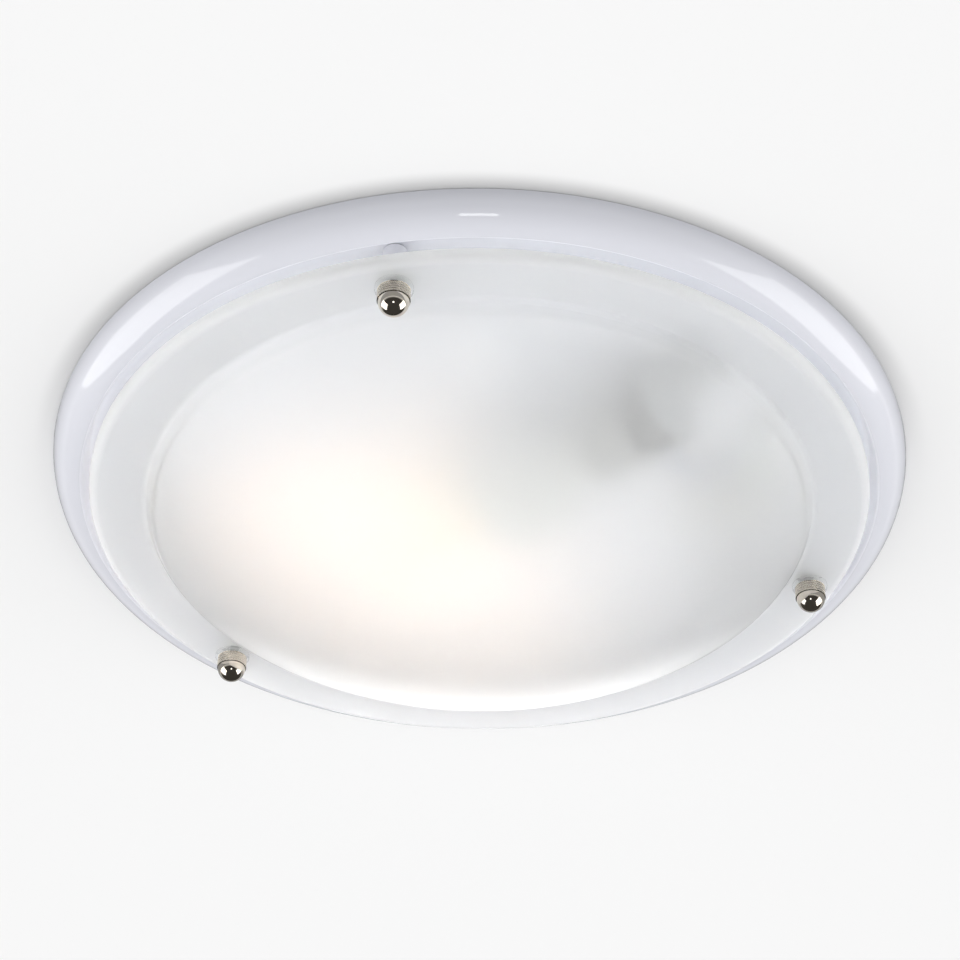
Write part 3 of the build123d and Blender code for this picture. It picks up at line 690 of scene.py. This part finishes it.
class LIGHT_OT_glass(bpy.types.Operator):
    """Dresses the satin glass dish, its clear washers, its soft cushions and the spacers"""

    bl_idname = "ceiling_light.glass"
    bl_label = "Glass Dish"

    def execute(self, context):
        dress(satin_glass(context.scene.light_glass), "glass_dish")
        vinyl = dress_plain("clear_vinyl").node_tree.nodes["Principled BSDF"]
        vinyl.inputs["Transmission Weight"].default_value = 1
        vinyl.inputs["IOR"].default_value = 1.12
        vinyl.inputs["Alpha"].default_value = 0.22
        dress_plain("soft_silicone")
        dress_plain("spacer_nylon")
        return {"FINISHED"}


# ---- finials and studs ---------------------------------------------------------------------------
def finial_profile(values, top, low):
    """Outline of a finial, blind bore, flat top, chamfered skirt, step and half-round end, and the
    lower and upper height of its knurl."""
    bore = values.bore / 2
    outer = values.diameter / 2
    dome = values.dome_diameter / 2
    relief = (outer - dome) / 2
    skirt_low = low + dome
    bore_end = low + values.end_wall
    quarter = np.linspace(0, math.pi / 2, FINIAL_ROWS["end"])[:-1, None]
    rows = [
        [(0, bore_end)],
        span((bore, bore_end), (bore, top), FINIAL_ROWS["bore"]),
        span((bore, top), (outer - relief, top), FINIAL_ROWS["top"]),
        span((outer - relief, top), (outer, top - relief), FINIAL_ROWS["chamfer"]),
        span((outer, top - relief), (outer, skirt_low + relief), FINIAL_ROWS["skirt"]),
        span((outer, skirt_low + relief), (dome, skirt_low), FINIAL_ROWS["step"]),
        np.hstack([dome * np.cos(quarter), skirt_low - dome * np.sin(quarter)]),
        [(0, low)],
    ]
    return np.vstack(rows), (skirt_low + relief, top - relief)


def diamond_cut(values, band):
    """Cut of the knurl: two crossed sets of slanting waves, deepest where either is at a trough."""
    low, high = band
    turns = values.knurl_count

    def bulge(angle, height):
        rise = turns * (height - low) / (math.pi * values.diameter)
        left = np.abs(np.sin(0.5 * (turns * angle + TAU * rise)))
        right = np.abs(np.sin(0.5 * (turns * angle - TAU * rise)))
        inside = (height > low) & (height < high)
        return np.where(inside, -values.knurl_depth * (1 - np.minimum(left, right)), 0)

    return bulge


class LIGHT_OT_finials(bpy.types.Operator):
    """Turns the three finial nuts: knurled skirt, polished domed end, blind bore"""

    bl_idname = "ceiling_light.finials"
    bl_label = "Finials"

    def execute(self, context):
        values = context.scene.light_finial
        nickel = finish(
            "finial_nickel",
            values.nickel,
            worn=dimmed(values.nickel, 0.08),
            roughness=(0.05, 0.10),
            cloud_width=3 * MM,
            metallic=1.0,
        )
        for number in NUMBERS:
            low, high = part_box(f"finial_{number}")
            profile, band = finial_profile(values, high.z, low.z)
            cut = diamond_cut(values, band)
            name = f"finial_nut_{number}"
            mesh = turned_mesh(name, profile, FINIAL_AROUND, cut, (low + high) / 2)
            add_piece(name, mesh, nickel, f"finial_{number}", f"finial_{number}")
        return {"FINISHED"}


def thread_wave(pitch, depth, low, high):
    """Cut of a single thread: a triangle wave that climbs one pitch in each turn of the angle."""

    def bulge(angle, height):
        phase = (height / pitch - angle / TAU) % 1
        wave = np.abs(2 * phase - 1)
        inside = (height > low) & (height < high)
        return np.where(inside, -depth * wave, 0)

    return bulge


class LIGHT_OT_studs(bpy.types.Operator):
    """Cuts the thread of the three studs that hold the glass"""

    bl_idname = "ceiling_light.studs"
    bl_label = "Studs"

    def execute(self, context):
        values = context.scene.light_stud
        steel = finish(
            "stud_steel",
            values.steel,
            worn=dimmed(values.steel, 0.25),
            roughness=(0.25, 0.40),
            cloud_width=3 * MM,
            metallic=1.0,
        )
        shank = values.diameter / 2
        half_pitch = values.pitch / 2
        for number in NUMBERS:
            low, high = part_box(f"stud_{number}")
            wide = (high.x - low.x) / 2
            under = high.z - values.foot
            tip = low.z + half_pitch
            rows = [
                [(0, high.z)],
                span((wide, high.z), (wide, under), STUD_ROWS["edge"]),
                span((wide, under), (shank, under), STUD_ROWS["foot"]),
                span((shank, under), (shank, tip), STUD_ROWS["thread"]),
                [(shank, tip), (shank - half_pitch, low.z), (0, low.z)],
            ]
            wave = thread_wave(values.pitch, values.pitch * THREAD_DEPTH, tip, under - half_pitch)
            name = f"threaded_stud_{number}"
            mesh = turned_mesh(name, np.vstack(rows), STUD_AROUND, wave, (low + high) / 2)
            mesh.flip_normals()  # these rows run downwards, so the faces are made inside out
            add_piece(name, mesh, steel, "root", f"stud_{number}")
        return {"FINISHED"}


# ---- lamp and lampholder -------------------------------------------------------------------------
def lamp_axis():
    """Start point and unit direction of the lamp's axis, from its turning joint."""
    joints = frame["record"]["behaviour"]["joints"]
    joint = next(joint for joint in joints if joint["name"] == "lamp_turn")
    return Vector(joint["pos_m"]), Vector(joint["axis"]).normalized()


def lit_tube(values):
    """Phosphor-coated tube: white and glossy, its glow rising from the legs' roots to the bends."""
    material = finish(
        "lit_tube",
        (0.92, 0.90, 0.86),
        worn=(0.86, 0.84, 0.80),
        roughness=(0.15, 0.22),
        cloud_width=10 * MM,
    )
    tree, shader = principled(material)
    seat, way = lamp_axis()
    dim_end = way.dot(seat) + values.dim_end
    bright_end = way.dot(seat) + values.bright_end
    share = ramp(tree, along(tree, coordinate(tree), way), dim_end, bright_end, values.root_share)
    clouds = wear(tree, values.glow, dimmed(values.glow, 0.06), (0, 0), 20 * MM)
    glow = node(tree, "ShaderNodeVectorMath", operation="SCALE")
    feed(tree, glow, 0, clouds["Colour"])
    feed(tree, glow, "Scale", share)
    feed(tree, shader, "Emission Color", glow.outputs["Vector"])
    shader.inputs["Emission Strength"].default_value = values.strength
    return material


def add_return_light(values):
    """Elliptical lamp inside the dish, for the lamp light that the white dish throws back."""
    length, width = RETURN_SIZE
    light = values.return_light * width / length
    back = area_lamp("dish_return", Vector((0, 0, -1)), 0, length, light)
    back.location = RETURN_PLACE
    back.rotation_mode = "XYZ"
    back.rotation_euler = (math.pi, 0, RETURN_TURN)
    back.data.shape = "ELLIPSE"
    back.data.size_y = width
    back.data.color = values.return_colour
    back.visible_camera = back.visible_glossy = back.visible_transmission = False


class LIGHT_OT_lamp(bpy.types.Operator):
    """Dresses the lamp: tubes, housing, cap and tip, and adds the light that the dish returns"""

    bl_idname = "ceiling_light.lamp"
    bl_label = "Lamp"

    def execute(self, context):
        values = context.scene.light_lamp
        dress(lit_tube(values), *numbered("lamp_tube"))
        add_return_light(values)
        plastic = finish(
            "lamp_plastic",
            values.plastic,
            worn=dimmed(values.plastic, 0.06),
            roughness=(0.32, 0.42),
            cloud_width=20 * MM,
            ripple_width=1.2 * MM,
            ripple_height=0.01 * MM,
        )
        dress(plastic, "lamp_housing", "lamp_collar")
        for name in ("board_laminate", "cap_glass", "solder", "cap_metal"):
            dress_plain(name)
        return {"FINISHED"}


def sleeve(name, colour):
    """Plain insulation of a lead."""
    return finish(
        name, colour, worn=dimmed(colour, 0.15), roughness=(0.30, 0.40), cloud_width=10 * MM
    )


def two_coloured_sleeve(values):
    """Green sleeve with a yellow stripe: yellow where the surface faces up and to one side."""
    material = sleeve("earth_lead_sleeve", values.earth_green)
    tree, shader = principled(material)
    green = shader.inputs["Base Color"].links[0].from_socket
    side = along(tree, coordinate(tree, "Normal"), STRIPE_WAY)
    stripe = worked(tree, "GREATER_THAN", side, STRIPE_START)
    colour = mixed_colour(tree, stripe, green, (*values.earth_yellow, 1))
    feed(tree, shader, "Base Color", colour)
    return material


class LIGHT_OT_fittings(bpy.types.Operator):
    """Dresses the lampholder, terminal block, grommet and leads"""

    bl_idname = "ceiling_light.fittings"
    bl_label = "Holder and Wiring"

    def execute(self, context):
        values = context.scene.light_fittings
        holder = finish(
            "holder_black",
            values.holder,
            worn=(0.05, 0.05, 0.05),
            roughness=(0.28, 0.40),
            cloud_width=10 * MM,
            ripple_width=1.0 * MM,
            ripple_height=0.01 * MM,
        )
        dress(holder, "lampholder_base")
        dress_plain("shell_grey")
        brass = finish(
            "contact_brass",
            values.brass,
            worn=dimmed(values.brass, 0.25),
            roughness=(0.20, 0.40),
            cloud_width=3 * MM,
            metallic=1.0,
        )
        dress(brass, "centre_contact", "side_contact", "terminal_inserts")
        block = finish(
            "block_plastic",
            values.block,
            worn=dimmed(values.block, 0.1),
            roughness=(0.40, 0.50),
            cloud_width=10 * MM,
            ripple_width=1.0 * MM,
            ripple_height=0.01 * MM,
        )
        dress(block, "terminal_block")
        rubber = finish(
            "grommet_rubber",
            values.rubber,
            worn=(0.06, 0.06, 0.06),
            roughness=(0.55, 0.70),
            cloud_width=4 * MM,
        )
        dress(rubber, "grommet")
        dress(two_coloured_sleeve(values), "earth_lead")
        dress(sleeve("live_lead_sleeve", values.live), "live_lead")
        dress(sleeve("neutral_lead_sleeve", values.neutral), "neutral_lead")
        return {"FINISHED"}


# ---- studio --------------------------------------------------------------------------------------
def ceiling_sheet(hole):
    """Flat ring in the ceiling's plane, from under the pan's rim outwards, facing down."""
    angle = -np.arange(CEILING_AROUND) * TAU / CEILING_AROUND
    radius = np.array([hole, 2 * hole, CEILING_REACH])[:, None]
    x, y = radius * np.cos(angle), radius * np.sin(angle)
    points = np.stack([x, y, np.full_like(x, CEILING_LIFT)], axis=2)
    mesh = bpy.data.meshes.new("ceiling")
    faces = ring_faces(len(radius), CEILING_AROUND)
    mesh.from_pydata(points.reshape(-1, 3).tolist(), [], faces)
    return mesh


def ceiling_material(values, rim):
    """Ceiling paint that is there from below only; from above it is clear.

    The camera sees it pale, with a soft painted shade close to the rim on the near side, which is
    the product of two smooth steps: one falls with the distance from the rim, one rises towards -Y.
    Other rays meet a darker paint, so that the ceiling throws little light back.
    """
    material = bpy.data.materials.new("ceiling_paint")
    material.use_nodes = True
    tree = material.node_tree
    tree.nodes.clear()
    place = coordinate(tree)
    radius = from_axis(tree, place)
    # painted shade: darker paint close to the rim, on its near side only
    close = ramp(tree, radius, rim, rim + values.painted_shade_width, values.shade, 0)
    near = ramp(tree, parted(tree, place)["Y"], 0, -NEAR_SIDE * rim)
    shade = worked(tree, "MULTIPLY", close, near)
    pale = ramp(tree, shade, 0, 1, values.ceiling, 0, shape="LINEAR")
    camera_ray = node(tree, "ShaderNodeLightPath").outputs["Is Camera Ray"]
    level = ramp(tree, camera_ray, 0, 1, values.ceiling_bounce, pale, shape="LINEAR")
    paint = node(tree, "ShaderNodeBsdfDiffuse")
    feed(tree, paint, "Color", level)
    clear = node(tree, "ShaderNodeBsdfTransparent")
    above = node(tree, "ShaderNodeNewGeometry").outputs["Backfacing"]
    seen = mixed_shader(tree, above, paint.outputs["BSDF"], clear.outputs["BSDF"])
    feed(tree, node(tree, "ShaderNodeOutputMaterial"), "Surface", seen)
    return material


def background(tree, strength, colour=ROOM_GREY):
    """Even light of a colour and a strength."""
    made = node(tree, "ShaderNodeBackground")
    feed(tree, made, "Color", (*colour, 1))
    feed(tree, made, "Strength", strength)
    return made.outputs["Background"]


def room_world(values):
    """Room light, strongest from below and a little behind, with more from left and right.

    The share from the sides is the fourth power of the direction's X.  Metal shows a dark room
    under a pale ceiling, the glass lets an even light through, and the camera sees it pale.
    """
    world = bpy.data.worlds.new("room")
    world.use_nodes = True
    tree = world.node_tree
    tree.nodes.clear()
    ray = node(tree, "ShaderNodeLightPath").outputs
    direction = coordinate(tree, "Generated")
    channel = parted(tree, direction)
    toward = along(tree, direction, BRIGHTEST_WAY)
    spread = ramp(tree, toward, ROOM_FADE, 1, 0, values.room_light, shape="LINEAR")
    squared = worked(tree, "MULTIPLY", channel["X"], channel["X"])
    fourth = worked(tree, "MULTIPLY", squared, squared)
    below = worked(tree, "MULTIPLY_ADD", fourth, values.room_sides, spread)
    above = worked(tree, "GREATER_THAN", channel["Z"], 0)
    level = ramp(tree, above, 0, 1, below, values.room_back, shape="LINEAR")
    pale = background(tree, values.background, (1, 1, 1))
    dark = background(tree, values.room_dark, DARK_ROOM)
    in_metal = mixed_shader(tree, ramp(tree, channel["Z"], *PALE_BAND), dark, pale)
    room = mixed_shader(tree, ray["Is Glossy Ray"], background(tree, level), in_metal)
    through = background(tree, values.room_through)
    room = mixed_shader(tree, ray["Is Transmission Ray"], room, through)
    room = mixed_shader(tree, ray["Is Camera Ray"], room, pale)
    feed(tree, node(tree, "ShaderNodeOutputWorld"), "Surface", room)
    return world


def bank_way(azimuth, elevation):
    """Unit direction from an azimuth and an elevation in degrees."""
    turn, rise = math.radians(azimuth), math.radians(elevation)
    flat = math.cos(rise)
    return Vector((flat * math.cos(turn), flat * math.sin(turn), math.sin(rise)))


def area_lamp(name, way, distance, size, light):
    """Square lamp at a distance along a direction from the origin, facing it, of a brightness."""
    data = bpy.data.lights.new(name, "AREA")
    data.shape = "SQUARE"
    data.size = size
    data.energy = light * math.pi * size**2
    lamp = bpy.data.objects.new(name, data)
    bpy.context.scene.collection.objects.link(lamp)
    lamp.location = way * distance
    lamp.rotation_mode = "QUATERNION"
    lamp.rotation_quaternion = way.to_track_quat("Z", "Y")
    return lamp


def add_gloss_lamp(name, way, distance, size, light):
    """Lamp that only gloss shows."""
    lamp = area_lamp(name, way, distance, size, light)
    lamp.visible_diffuse = lamp.visible_transmission = False


def add_camera(values):
    """Camera below and in front of the light, as the photograph was taken."""
    angle = values.camera_angle
    forward = Vector((0, math.cos(angle), math.sin(angle)))
    right = Vector((1, 0, 0))
    up = Vector((0, -math.sin(angle), math.cos(angle)))
    turn = values.camera_roll
    rolled_right = math.cos(turn) * right + math.sin(turn) * up
    rolled_up = math.cos(turn) * up - math.sin(turn) * right
    data = bpy.data.cameras.new("camera")
    camera = bpy.data.objects.new("camera", data)
    bpy.context.scene.collection.objects.link(camera)
    rotation = Matrix((rolled_right, rolled_up, -forward)).transposed()
    place = Matrix.Translation(-forward * values.camera_distance)
    camera.matrix_world = place @ rotation.to_4x4()
    data.lens = LENS
    data.sensor_width = SENSOR_WIDTH
    data.shift_x, data.shift_y = LENS_SHIFT
    data.clip_start = 0.05
    data.clip_end = 50
    bpy.context.scene.camera = camera


class LIGHT_OT_studio(bpy.types.Operator):
    """Sets the ceiling, the room's light, the banks and the camera"""

    bl_idname = "ceiling_light.studio"
    bl_label = "Studio"

    def execute(self, context):
        values = context.scene.light_studio
        context.scene.view_settings.view_transform = "Standard"
        low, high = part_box("pan")
        rim = (high.x - low.x) / 2
        mesh = ceiling_sheet(rim - RIM_OVERLAP)
        mesh.materials.append(ceiling_material(values, rim))
        ceiling = bpy.data.objects.new("ceiling", mesh)
        context.scene.collection.objects.link(ceiling)
        context.scene.world = room_world(values)
        for name, azimuth in BANKS.items():
            way = bank_way(azimuth, BANK_RISE)
            add_gloss_lamp(name, way, BANK_DISTANCE, values.bank_size, values.bank_light)
        way = bank_way(*FRONT_WAY)
        add_gloss_lamp("front_lamp", way, FRONT_DISTANCE, FRONT_SIZE, values.front_light)
        add_camera(values)
        return {"FINISHED"}


# ---- panel and running ---------------------------------------------------------------------------
OPERATORS = (
    LIGHT_OT_studio,
    LIGHT_OT_pan,
    LIGHT_OT_glass,
    LIGHT_OT_finials,
    LIGHT_OT_studs,
    LIGHT_OT_lamp,
    LIGHT_OT_fittings,
)


class LIGHT_PT_sidebar(bpy.types.Panel):
    """Sidebar list of the light's pieces and the studio"""

    bl_label = "Ceiling Light"
    bl_idname = "LIGHT_PT_sidebar"
    bl_space_type = "VIEW_3D"
    bl_region_type = "UI"
    bl_category = "Ceiling Light"

    def draw(self, context):
        for operator in OPERATORS:
            self.layout.operator(operator.bl_idname)
        for name, group in GROUPS.items():
            box = self.layout.box()
            box.label(text=group.__name__)
            for field in group.__annotations__:
                box.prop(getattr(context.scene, name), field)


CLASSES = (*GROUPS.values(), *OPERATORS, LIGHT_PT_sidebar)


def register():
    for item in CLASSES:
        bpy.utils.register_class(item)
    for name, group in GROUPS.items():
        setattr(bpy.types.Scene, name, PointerProperty(type=group))


def unregister():
    for name in GROUPS:
        delattr(bpy.types.Scene, name)
    for item in reversed(CLASSES):
        bpy.utils.unregister_class(item)


def main():
    """Registers the classes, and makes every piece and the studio."""
    register()
    for operator in OPERATORS:
        group, name = operator.bl_idname.split(".")
        getattr(getattr(bpy.ops, group), name)()


if __name__ == "__main__":
    main()
